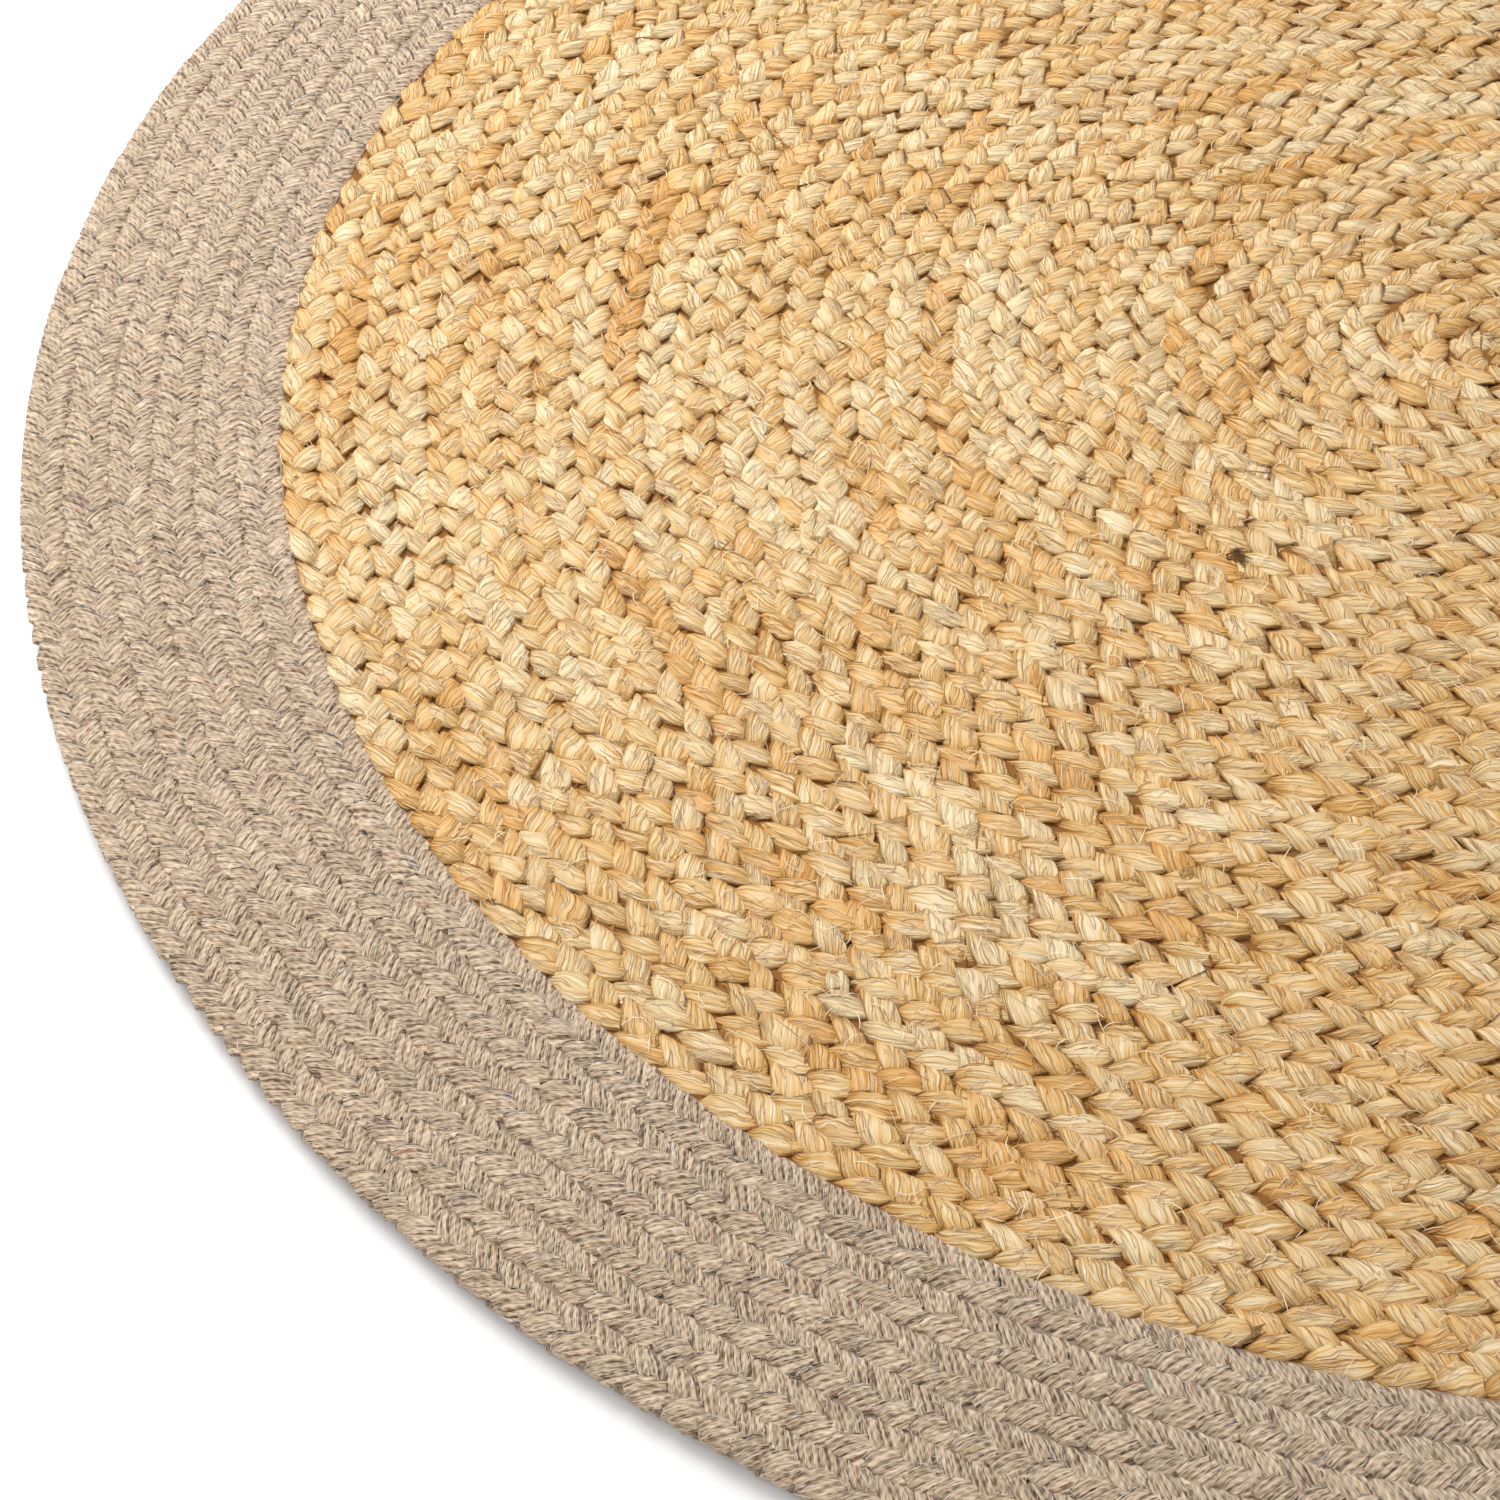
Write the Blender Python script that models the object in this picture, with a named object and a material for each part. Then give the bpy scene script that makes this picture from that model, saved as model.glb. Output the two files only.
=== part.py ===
"""Round braided rug, lying flat: a coiled jute field inside a coiled cotton border.

Metres, +Z up. The origin is the middle of the underside, which is flat on the floor.
Each zone is one long flat braid, wound edge to edge. Each turn of it, a course, stands
up as a rounded rib, and the line where two courses are sewn together is a groove.
"""

import math

import bmesh
import bpy

# The rug as a whole
RUG_RADIUS = 0.600
ZONE_GAP = 0.0003            # between the jute field and the cotton border
STEP_TURN = 0.10             # part of a turn in which a gathered coil moves out by one course
STEP_END_ANGLE = math.radians(15.0)   # where that step ends, seen from above

# Jute field
JUTE_RADIUS = 0.4985
JUTE_COURSES = 34
JUTE_COLUMNS = 48
JUTE_FIRST_COLUMN = 0.5               # how far past the step it stands, in columns
CENTRE_BUTTON_RADIUS = 0.006          # the braid's first hook, closed on itself

# Cotton border
COTTON_COURSES = 6
COTTON_COLUMNS = 96                   # every second one meets a column of the field
COTTON_FIRST_COLUMN = 0.0

# Heights above the floor
GROOVE_HEIGHT = 0.0056
CROWN_HEIGHT = 0.0090

# A rib's two shoulders, as shares of the way across its course
SHOULDERS = (0.28, 0.72)

# Outer side of the last cotton course, which rounds down to the floor
RIM_INSET = 0.0021                    # the rib ends this far in from the rug's radius
RIM_SIDE_HEIGHT = 0.0036              # where the side is widest
RIM_UNDERCUT = 0.0014

JUTE_COLOUR = (0.520, 0.325, 0.150, 1.0)
COTTON_COLOUR = (0.400, 0.320, 0.245, 1.0)


class Zone:
    """One coiled braid between two radii."""

    def __init__(self, inner, outer, courses, columns, first_column, from_centre):
        self.inner = inner
        self.outer = outer
        self.courses = courses
        self.columns = columns
        self.first_column = first_column
        self.from_centre = from_centre
        self.pitch = (outer - inner) / courses

    def gathered(self, turns):
        """0 where the coil grows evenly, 1 where each turn keeps its radius up to the step."""
        if not self.from_centre:
            return 1.0
        return min(max(turns / self.courses, 0.0), 1.0)

    def edge_radius(self, course, part_turn):
        """Radius of a course's inner edge, part of a turn after the step."""
        stepped = max(0.0, (part_turn - 1.0 + STEP_TURN) / STEP_TURN)
        gathered = self.gathered(course + part_turn)
        grown = (1.0 - gathered) * part_turn + gathered * stepped
        radius = self.inner + self.pitch * (course + grown)
        return min(max(radius, self.inner), self.outer)

    def section(self, part_turn):
        """(radius, height) of every point across the zone's top, from the inside out."""
        points = []
        for course in range(-1, self.courses):
            near = self.edge_radius(course, part_turn)
            far = self.edge_radius(course + 1, part_turn)
            width = far - near
            rise = (CROWN_HEIGHT - GROOVE_HEIGHT) * min(1.0, width / self.pitch)
            points.append((near, GROOVE_HEIGHT))
            for across in SHOULDERS:
                points.append((near + across * width, GROOVE_HEIGHT + rise))
        points.append((self.outer, GROOVE_HEIGHT))
        return points

    def part_turn(self, column):
        return (column + self.first_column) / self.columns

    def angle(self, column):
        """The coil grows clockwise, seen from above."""
        return STEP_END_ANGLE - 2.0 * math.pi * self.part_turn(column)


class Shell:
    """A mesh in the making, which gives one vertex for one place."""

    def __init__(self):
        self.mesh = bmesh.new()
        self.places = {}

    def vertex(self, radius, angle, height):
        place = (radius * math.cos(angle), radius * math.sin(angle), height)
        key = tuple(round(value, 6) for value in place)
        if key not in self.places:
            self.places[key] = self.mesh.verts.new(place)
        return self.places[key]

    def face(self, corners):
        """Adds a face, leaving out corners that fall together."""
        distinct = list(dict.fromkeys(corners))
        if len(distinct) > 2:
            self.mesh.faces.new(distinct)

    def finish(self, name, colour, roughness):
        bmesh.ops.recalc_face_normals(self.mesh, faces=self.mesh.faces)
        mesh = bpy.data.meshes.new(name)
        self.mesh.to_mesh(mesh)
        self.mesh.free()
        mesh.shade_smooth()
        mesh.set_sharp_from_angle(angle=math.radians(60.0))
        material = bpy.data.materials.new(name)
        material.use_nodes = True
        shader = material.node_tree.nodes["Principled BSDF"]
        shader.inputs["Base Color"].default_value = colour
        shader.inputs["Roughness"].default_value = roughness
        shader.inputs["Metallic"].default_value = 0.0
        mesh.materials.append(material)
        item = bpy.data.objects.new(name, mesh)
        bpy.context.scene.collection.objects.link(item)
        return item


def ribbed_top(shell, zone):
    """The ribbed face of a zone."""
    columns = []
    for column in range(zone.columns):
        section = zone.section(zone.part_turn(column))
        if zone.from_centre:
            section = [
                point if point[0] > CENTRE_BUTTON_RADIUS else (0.0, CROWN_HEIGHT)
                for point in section
            ]
        columns.append([shell.vertex(r, zone.angle(column), h) for r, h in section])
    last = len(columns[0]) - 1
    for column, here in enumerate(columns):
        following = (column + 1) % zone.columns
        there = columns[following]
        # After a whole turn each course carries on as the next one out.
        shift = len(SHOULDERS) + 1 if following == 0 else 0
        for ring in range(-shift, last):
            shell.face([
                here[max(ring, 0)],
                here[max(ring + 1, 0)],
                there[min(ring + 1 + shift, last)],
                there[min(ring + shift, last)],
            ])


def skirt(shell, zone, profile):
    """Faces that follow (radius, height) points all the way round."""
    for column in range(zone.columns):
        first = zone.angle(column)
        second = zone.angle((column + 1) % zone.columns)
        for (r0, h0), (r1, h1) in zip(profile, profile[1:]):
            shell.face([
                shell.vertex(r0, first, h0),
                shell.vertex(r1, first, h1),
                shell.vertex(r1, second, h1),
                shell.vertex(r0, second, h0),
            ])


def jute_field():
    zone = Zone(0.0, JUTE_RADIUS, JUTE_COURSES, JUTE_COLUMNS, JUTE_FIRST_COLUMN,
                from_centre=True)
    shell = Shell()
    ribbed_top(shell, zone)
    skirt(shell, zone, [(zone.outer, GROOVE_HEIGHT), (zone.outer, 0.0)])
    rim = [shell.vertex(zone.outer, zone.angle(column), 0.0) for column in range(zone.columns)]
    shell.face(rim)
    return shell.finish("jute_braid_field", JUTE_COLOUR, 0.9)


def cotton_border():
    inner = JUTE_RADIUS + ZONE_GAP
    zone = Zone(inner, RUG_RADIUS - RIM_INSET, COTTON_COURSES, COTTON_COLUMNS,
                COTTON_FIRST_COLUMN, from_centre=False)
    shell = Shell()
    ribbed_top(shell, zone)
    skirt(shell, zone, [
        (zone.outer, GROOVE_HEIGHT),
        (RUG_RADIUS, RIM_SIDE_HEIGHT),
        (RUG_RADIUS - RIM_UNDERCUT, 0.0),
        (inner, 0.0),
        (inner, GROOVE_HEIGHT),
    ])
    return shell.finish("cotton_braid_border", COTTON_COLOUR, 0.85)


for item in list(bpy.data.objects):
    bpy.data.objects.remove(item, do_unlink=True)

jute_field()
cotton_border()
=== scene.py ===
import bpy
import math
import numpy as np
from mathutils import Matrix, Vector


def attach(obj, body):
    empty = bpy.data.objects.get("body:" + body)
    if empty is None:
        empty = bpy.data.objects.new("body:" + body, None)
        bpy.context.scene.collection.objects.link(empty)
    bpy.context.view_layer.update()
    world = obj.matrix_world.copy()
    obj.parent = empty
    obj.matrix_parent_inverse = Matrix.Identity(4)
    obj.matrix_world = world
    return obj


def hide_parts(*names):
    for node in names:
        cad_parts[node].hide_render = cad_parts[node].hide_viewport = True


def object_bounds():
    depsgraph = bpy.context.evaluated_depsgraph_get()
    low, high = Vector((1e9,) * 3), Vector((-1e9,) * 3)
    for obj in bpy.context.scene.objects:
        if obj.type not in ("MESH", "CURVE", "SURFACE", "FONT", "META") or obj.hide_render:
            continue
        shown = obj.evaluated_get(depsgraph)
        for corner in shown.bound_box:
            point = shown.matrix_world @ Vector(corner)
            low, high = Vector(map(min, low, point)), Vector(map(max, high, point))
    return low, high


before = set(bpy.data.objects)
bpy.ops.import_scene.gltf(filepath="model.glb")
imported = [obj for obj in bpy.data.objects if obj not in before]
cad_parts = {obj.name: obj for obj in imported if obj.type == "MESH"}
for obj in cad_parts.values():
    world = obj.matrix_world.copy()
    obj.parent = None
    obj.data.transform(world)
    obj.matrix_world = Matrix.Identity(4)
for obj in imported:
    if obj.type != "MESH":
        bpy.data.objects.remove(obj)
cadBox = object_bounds()
rugRadius = cadBox[1].x
print("frame loaded, rug radius", round(rugRadius, 4), "m")

mm = 0.001


# sRGB hex to the linear colour that a shader wants
def hexColour(code):
    parts = [int(code[i:i + 2], 16) / 255 for i in (0, 2, 4)]
    return tuple(c / 12.92 if c <= 0.04045 else ((c + 0.055) / 1.055) ** 2.4 for c in parts) + (1.0,)


# adds one node; an input that is given a socket is linked to it
def addNode(tree, kind, inputs=(), **settings):
    node = tree.nodes.new(kind)
    for name, value in settings.items():
        setattr(node, name, value)
    for name, value in dict(inputs).items():
        if isinstance(value, bpy.types.NodeSocket):
            tree.links.new(value, node.inputs[name])
        else:
            node.inputs[name].default_value = value
    return node


def newMaterial(name):
    material = bpy.data.materials.new(name)
    material.use_nodes = True
    material.node_tree.nodes.clear()
    return material, material.node_tree


# the coil, along which both braids run. The lengths are those of its slow random changes
coil = {
    "stepTurn": 0.10,        # part of a turn in which a course moves out by one pitch
    "stepEndDeg": 15.0,      # where that step ends, seen from above
    "courseWobble": 0.45 * mm, "courseWobbleLength": (50 * mm, 300 * mm),
    "stepWobble": 0.28,      # how unevenly the plaits were pulled tight, in radians
    "stepWobbleLength": (60 * mm, 500 * mm),
    "narrowest": 0.25,       # of a full course, where the coil starts and ends
    "thinning": 0.25,        # how much of its height a strand loses in a course of no width
    "lumpLength": (10 * mm, 60 * mm),
    "pressBack": 0.85,       # how much of what goes past a braid's reach is pressed back
    "toneChangeAt": 0.65,    # of a half crossing, where one plait's colour gives way to the next
    "crownReach": 0.32,      # of a half crossing, from a plait's crown to where it tucks under
    "rowsPerTurn": 720,
}


# across a strand's section, how high its surface is. A power over 2 is squarer than an
# ellipse, as strands are when they press on each other
def fullness(x, power=2.6):
    return (1 - abs(x) ** power) ** (1 / power)


# each row of a plait is one place on the strand: how far along its half crossing, mm from the
# course's middle, how far it is folded over the edge and its heading in degrees, then half
# width, half height and the height of its middle in mm. The strand comes up over one side of
# the course, runs on top as far as the middle, and dives under the next one to the other side
juteBraid = {
    "name": "juteBraid", "seed": 11, "slot": "jute", "node": "jute_braid_field",
    "inner": 0.0, "outer": 0.4964, "courses": 34, "fromCentre": True,
    "firstTurn": -0.62, "lastTurn": 33.975,
    "plaitStep": 18.0 * mm,  # from one plait to the next down one side of the braid
    "plait": [
        (0.00, 6.7, 36, 42, 4.8, 2.1, 5.8),
        (0.12, 5.5, 17, 40, 6.0, 2.2, 6.4),
        (0.27, 3.0, 4, 36, 6.6, 2.2, 6.7),
        (0.43, 0.2, -6, 32, 5.8, 2.1, 6.3),
        (0.72, -4.8, -92, 38, 3.9, 2.4, 3.9),
    ],
    "outerLift": 0.0 * mm,   # how much higher the plaits on the outer side stand
    "widthSpread": 0.14, "heightSpread": 0.35 * mm, "leanSpread": 0.6 * mm, "headingSpreadDeg": 4.5,
    # points round a strand's section, as shares of its half width and half height
    "ply": [(x, fullness(x)) for x in (0.98, 0.74, 0.28, -0.28, -0.74, -0.98)] + [(0.0, -1.0)],
    "plyLump": 0.5 * mm,     # the bast lies in uneven ribbons
    "reach": 0.4985,         # past this radius the plaits are pressed back
    "crownAt": 0.23,         # where along its half crossing a plait is highest
}

# six parallel yarns show side by side in a cotton strand, each a ridge with a groove to the
# next. Reach and heights are shares of the strand's half width and half height
cottonYarns = {"count": 6, "reach": 0.95, "squareness": 3.2, "crest": 1.02, "groove": 0.78}


def cottonPly():
    reach = cottonYarns["reach"]
    places = np.linspace(reach, -reach, 2 * cottonYarns["count"] - 1)
    ply = []
    for i, x in enumerate(places):
        height = cottonYarns["groove"] if i % 2 else cottonYarns["crest"]
        ply.append((x, fullness(x, cottonYarns["squareness"]) * height))
    return ply + [(0.0, -1.0)]


cottonBraid = {
    "name": "cottonBraid", "seed": 23, "slot": "cotton", "node": "cotton_braid_border",
    "inner": 0.4966, "outer": 0.5986, "courses": 6, "fromCentre": False,
    "firstTurn": -0.07, "lastTurn": 5.975,
    "plaitStep": 12.8 * mm,
    "plait": [
        (0.00, 7.7, 46, 61, 6.2, 1.8, 5.9),
        (0.11, 6.0, 18, 58, 6.9, 2.0, 6.6),
        (0.26, 3.1, 4, 53, 7.0, 2.1, 6.7),
        (0.42, 0.0, -6, 48, 6.1, 2.0, 6.1),
        (0.70, -5.0, -120, 50, 3.0, 2.2, 2.8),
    ],
    "outerLift": 0.3 * mm,
    "widthSpread": 0.06, "heightSpread": 0.15 * mm, "leanSpread": 0.25 * mm, "headingSpreadDeg": 2.5,
    "ply": cottonPly(),
    "plyLump": 0.25 * mm,
    "reach": 0.5986, "crownAt": 0.2,
}


# a soft random line: a few sines of different length
def wander(rng, distance, shortest, longest, terms=9):
    lengths = rng.uniform(shortest, longest, terms)
    starts = rng.uniform(0, 2 * math.pi, terms)
    waves = np.sin(2 * math.pi * distance[:, None] / lengths + starts)
    return waves.sum(axis=1) / math.sqrt(terms / 2)


# radius of a course's inner edge. It grows evenly near the rug's middle, and farther out more
# and more in a short step once a turn
def courseEdge(braid, turn):
    pitch = (braid["outer"] - braid["inner"]) / braid["courses"]
    course = np.floor(turn)
    part = turn - course
    stepped = np.clip((part - 1 + coil["stepTurn"]) / coil["stepTurn"], 0, 1)
    gathered = np.clip(turn / braid["courses"], 0, 1) if braid["fromCentre"] else 1.0
    grown = (1 - gathered) * part + gathered * stepped
    return np.clip(braid["inner"] + pitch * (course + grown), braid["inner"], braid["outer"])


# turn by turn: distance along the coil, middle radius and width of the course
def courseLine(braid):
    turns = np.arange(braid["firstTurn"], braid["lastTurn"], 1 / coil["rowsPerTurn"])
    near = courseEdge(braid, turns)
    far = courseEdge(braid, turns + 1)
    middle = (near + far) / 2
    step = np.gradient(turns) * 2 * math.pi * middle
    along = np.concatenate([[0], np.cumsum(step[1:])])
    rng = np.random.default_rng(braid["seed"])
    middle = middle + coil["courseWobble"] * wander(rng, along, *coil["courseWobbleLength"])
    return turns, along, middle, far - near


# where one strand runs, and which way its section is turned there
def strandPath(braid, strand, line, rng):
    turns, along, middle, width = line
    pitch = (braid["outer"] - braid["inner"]) / braid["courses"]
    period = 3 * braid["plaitStep"]
    count = int(2 * along[-1] / period - 2 * strand / 3) + 1
    rows = np.tile(np.array(braid["plait"]), (count, 1))
    share, across, fold, heading, halfWidth, halfHeight, height = rows.T
    plait = np.repeat(np.arange(count), len(braid["plait"]))
    # 1 where the plait starts on the course's inner side, -1 on its outer side
    side = np.where(plait % 2 == 0, 1.0, -1.0)
    # the plaits point anticlockwise, so the strand is followed from the coil's outer end
    distance = along[-1] - period * strand / 3 - period / 2 * (plait + share)
    # one slack for all three strands, so it has its own draws
    slackRng = np.random.default_rng(braid["seed"] + 5)
    slack = coil["stepWobble"] * wander(slackRng, distance, *coil["stepWobbleLength"])
    distance = np.clip(distance + slack * period / (2 * math.pi), 0, along[-1])

    def here(values):
        return np.interp(distance, along, values)

    radius = here(middle)
    fit = np.clip(here(width) / pitch, coil["narrowest"], 1.0)
    flatness = (1 - coil["thinning"]) + coil["thinning"] * fit
    own = rng.normal(0, 1, (count, 4))[plait]
    inward = (side * across * mm + own[:, 0] * braid["leanSpread"]) * fit
    height = height * mm + own[:, 1] * braid["heightSpread"] + (side < 0) * braid["outerLift"]
    height = height * flatness
    size = np.stack([halfWidth * (1 + braid["widthSpread"] * own[:, 2]) * fit,
                     halfHeight * flatness]) * mm
    fold = np.radians(fold) * side
    heading = -np.radians(heading) * side + own[:, 3] * math.radians(braid["headingSpreadDeg"])
    angle = math.radians(coil["stepEndDeg"]) - 2 * math.pi * here(turns)
    zero = np.zeros(len(angle))
    ahead = np.stack([-np.sin(angle), np.cos(angle), zero], axis=1)
    toMiddle = np.stack([-np.cos(angle), -np.sin(angle), zero], axis=1)
    upright = np.array([0.0, 0.0, 1.0])
    centre = (inward - radius)[:, None] * toMiddle + height[:, None] * upright
    outOf = toMiddle * np.sin(fold)[:, None] + upright * np.cos(fold)[:, None]
    level = toMiddle * np.cos(fold)[:, None] - upright * np.sin(fold)[:, None]
    sideways = ahead * np.sin(heading)[:, None] - level * np.cos(heading)[:, None]
    return centre, sideways, outOf, size, share, plait


# a ring of points round each point of the path, in the braid's ply profile
def strandRings(braid, centre, sideways, outOf, size, rng):
    run = np.concatenate([[0], np.cumsum(np.linalg.norm(np.diff(centre, axis=0), axis=1))])
    rings = np.empty((len(centre), len(braid["ply"]), 3))
    for i, (x, z) in enumerate(braid["ply"]):
        lump = braid["plyLump"] * wander(rng, run, *coil["lumpLength"])
        out = sideways * (x * size[0])[:, None] + outOf * (z * size[1])[:, None]
        rings[:, i] = centre + out * (1 + lump / np.linalg.norm(out, axis=1))[:, None]
    rings[:, :, 2] = np.maximum(rings[:, :, 2], 0.0)
    radius = np.hypot(rings[:, :, 0], rings[:, :, 1])
    beyond = np.maximum(1 - braid["reach"] / radius, 0)
    rings[:, :, :2] *= (1 - coil["pressBack"] * beyond)[..., None]
    return rings, run


# where a strand's parts lie on its maps, as shares of the square
mapLayout = {"sideGap": 0.001, "rowGap": 0.03, "capPlace": 0.997, "capRadius": 0.001}


# a closed tube from rings of points, with its maps and its per-point numbers
def tubeMesh(name, rings, maps, numbers):
    count, sides = rings.shape[:2]
    ring, side = np.meshgrid(np.arange(count - 1), np.arange(sides), indexing="ij")
    following = (side + 1) % sides
    corners = np.stack([
        ring * sides + side, ring * sides + following,
        (ring + 1) * sides + following, (ring + 1) * sides + side,
    ], axis=-1).reshape(-1, 4)
    caps = np.concatenate([np.arange(sides)[::-1], (count - 1) * sides + np.arange(sides)])
    loops = np.concatenate([corners.ravel(), caps]).astype(np.int32)
    starts = np.concatenate([np.arange(len(corners)) * 4, len(corners) * 4 + np.array([0, sides])])
    mesh = bpy.data.meshes.new(name)
    mesh.vertices.add(count * sides)
    mesh.vertices.foreach_set("co", rings.astype(np.float32).ravel())
    mesh.loops.add(len(loops))
    mesh.loops.foreach_set("vertex_index", loops)
    mesh.polygons.add(len(starts))
    mesh.polygons.foreach_set("loop_start", starts.astype(np.int32))
    turn = 2 * math.pi * np.arange(sides) / sides
    capRing = np.stack([np.cos(turn), np.sin(turn)], axis=1)
    capPlaces = np.tile(mapLayout["capPlace"] + mapLayout["capRadius"] * capRing, (2, 1))
    for title, places in maps.items():
        layer = mesh.uv_layers.new(name=title)
        allPlaces = np.concatenate([places.reshape(-1, 2), capPlaces])
        layer.uv.foreach_set("vector", allPlaces.astype(np.float32).ravel())
    for title, values in numbers.items():
        layer = mesh.attributes.new(title, "FLOAT", "POINT")
        layer.data.foreach_set("value", np.repeat(values, sides).astype(np.float32))
    mesh.update(calc_edges=True)
    mesh.validate()
    mesh.shade_smooth()
    piece = bpy.data.objects.new(name, mesh)
    bpy.context.scene.collection.objects.link(piece)
    return piece


def makeStrand(braid, strand, line):
    rng = np.random.default_rng(braid["seed"] * 10 + strand)
    centre, sideways, outOf, size, share, plait = strandPath(braid, strand, line, rng)
    rings, run = strandRings(braid, centre, sideways, outOf, size, rng)
    count, sides = rings.shape[:2]
    # strandMap: metres along the strand, share of the way round it
    first, second = np.arange(count - 1), np.arange(sides)
    u = np.stack([run[first], run[first], run[first + 1], run[first + 1]], axis=-1)
    v = np.stack([second, second + 1, second + 1, second], axis=-1) / sides
    strandMap = np.empty((count - 1, sides, 4, 2))
    strandMap[..., 0] = u[:, None, :]
    strandMap[..., 1] = v[None, :, :]
    # OFBake: the strand cut into rows that fill a square
    around = 2 * math.pi * np.mean(np.sqrt((size ** 2).mean(axis=0)))
    rows = int(math.sqrt(run[-1] / around))
    perRow = math.ceil((count - 1) / rows)
    row, place = first // perRow, first % perRow
    bakeMap = np.empty((count - 1, sides, 4, 2))
    sideGap, rowGap = mapLayout["sideGap"], mapLayout["rowGap"]
    bakeU = np.stack([place, place, place + 1, place + 1], axis=-1) / perRow * (1 - 2 * sideGap) + sideGap
    bakeMap[..., 0] = bakeU[:, None, :]
    bakeMap[..., 1] = (row[:, None, None] + rowGap + (1 - 2 * rowGap) * v[None, :, :]) / (rows + 1)
    tones = rng.uniform(0, 1, plait[-1] + 2)
    numbers = {
        # each plait has its own, changed out of sight
        "plyTone": tones[plait + (share > coil["toneChangeAt"])],
        # 1 on the crown, 0 where the plait tucks under; the jute paints shade by it, darkest at the tuck
        "plyTop": np.clip(1 - ((share - braid["crownAt"]) / coil["crownReach"]) ** 2, 0, 1),
    }
    piece = tubeMesh(braid["name"] + "Strand" + "ABC"[strand], rings,
                     {"strandMap": strandMap, "OFBake": bakeMap}, numbers)
    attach(piece, "root")
    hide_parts(braid["node"])
    return piece, (centre, sideways, outOf, size)


# the three strands, and the paths that they follow. Twice the faces is a fair count of the
# triangles, as all but the caps are quads
def makeBraid(braid):
    line = courseLine(braid)
    pieces, paths = zip(*[makeStrand(braid, strand, line) for strand in range(3)])
    faces = sum(len(p.data.polygons) for p in pieces)
    print(braid["name"], round(float(line[1][-1]), 1), "m of braid,", 2 * faces, "triangles")
    return list(pieces), paths


jutePieces, jutePaths = makeBraid(juteBraid)
cottonPieces = makeBraid(cottonBraid)[0]


# how far apart two plaits of different tone lie in the noise, so that each is its own
plaitShift = 37.0


# a place on a strand, measured in patches as long and as wide as the look says
def patchPlace(tree, place, look, name):
    size = (1 / look[name + "Length"], look["strandRound"] / look[name + "Width"], 1)
    return addNode(tree, "ShaderNodeVectorMath", {0: place.outputs[0], 1: size}, operation="MULTIPLY")


# jute: undyed bast fibre, retted and loosely twisted. Long pale streaks over honey and tan, with a weak dry
# shine.
# Shade is painted where a plait tucks under, where a strand lies against the next and in the seams and
# slits of its fibre
juteLook = {
    "brown": "94581A", "tan": "C88F44", "honey": "E0B879", "straw": "EED6AA", "pale": "FAEDD3",
    # slit is the colour of the painted shade in the seams and slits between fibres
    "grey": "D6C7A2", "orange": "CE8E3C", "slit": "8C5220",
    "rampStops": ((0.22, "tan"), (0.44, "honey"), (0.68, "straw")),   # brown at 0 and pale at 1
    "shade": 0.49,           # where on that ramp a plain stretch of fibre lies
    "streakLength": 22 * mm, "streakWidth": 0.9 * mm,   # single fibres are finer, too fine to show
    "ribbonLength": 30 * mm, "ribbonWidth": 3.0 * mm,
    "strandRound": 24 * mm,
    # its crown lies midway between the third and fourth of its section's points
    "crownRound": 2.5 / len(juteBraid["ply"]),
    "fibreTwist": 0.22,      # how far the fibres lean off the strand's line
    "strayLength": 8 * mm, "strayWidth": 5 * mm, "stray": 2.6 * mm,   # and how far they wander
    "patchSize": 90 * mm,    # one batch of fibre is paler than the next
    # of these shares, the tuck share paints shade where a plait tucks under and a little light on its crown
    "streakShare": 1.4, "ribbonShare": 0.35, "toneShare": 0.13, "patchShare": 0.25, "tuckShadeShare": 0.36,
    "lotLength": 220 * mm, "lotShare": 0.33,   # along one strand the fibre changes slowly
    # the seams and slits between ribbons of fibre are painted shade in the slit colour
    "seamWidth": 0.016, "seamDepth": 0.5, "slitShadeShare": 0.45,
    "holeRange": (0.39, 0.28),   # the darkest of the streaks open into slits
    # painted contact shade at a strand's flanks, where it lies against the next one
    "edgeShadeShare": 0.25,       # a strand is darker where it lies against the next one
    "edgeShadeRange": (0.24, 0.37),
    "kindShare": 0.5,        # what a plait's own fibre counts for in its hue, beside its lot's
    "hueShare": 0.42, "greyRange": (0.85, 1.05), "orangeRange": (0.68, 0.45),
    "roughness": 0.6, "ior": 1.5,
    "specular": 0.35,        # bast has little gloss, as its fibres are fine and dry
    "streakHeight": 0.7 * mm, "ribbonHeight": 1.2 * mm,
}


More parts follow.
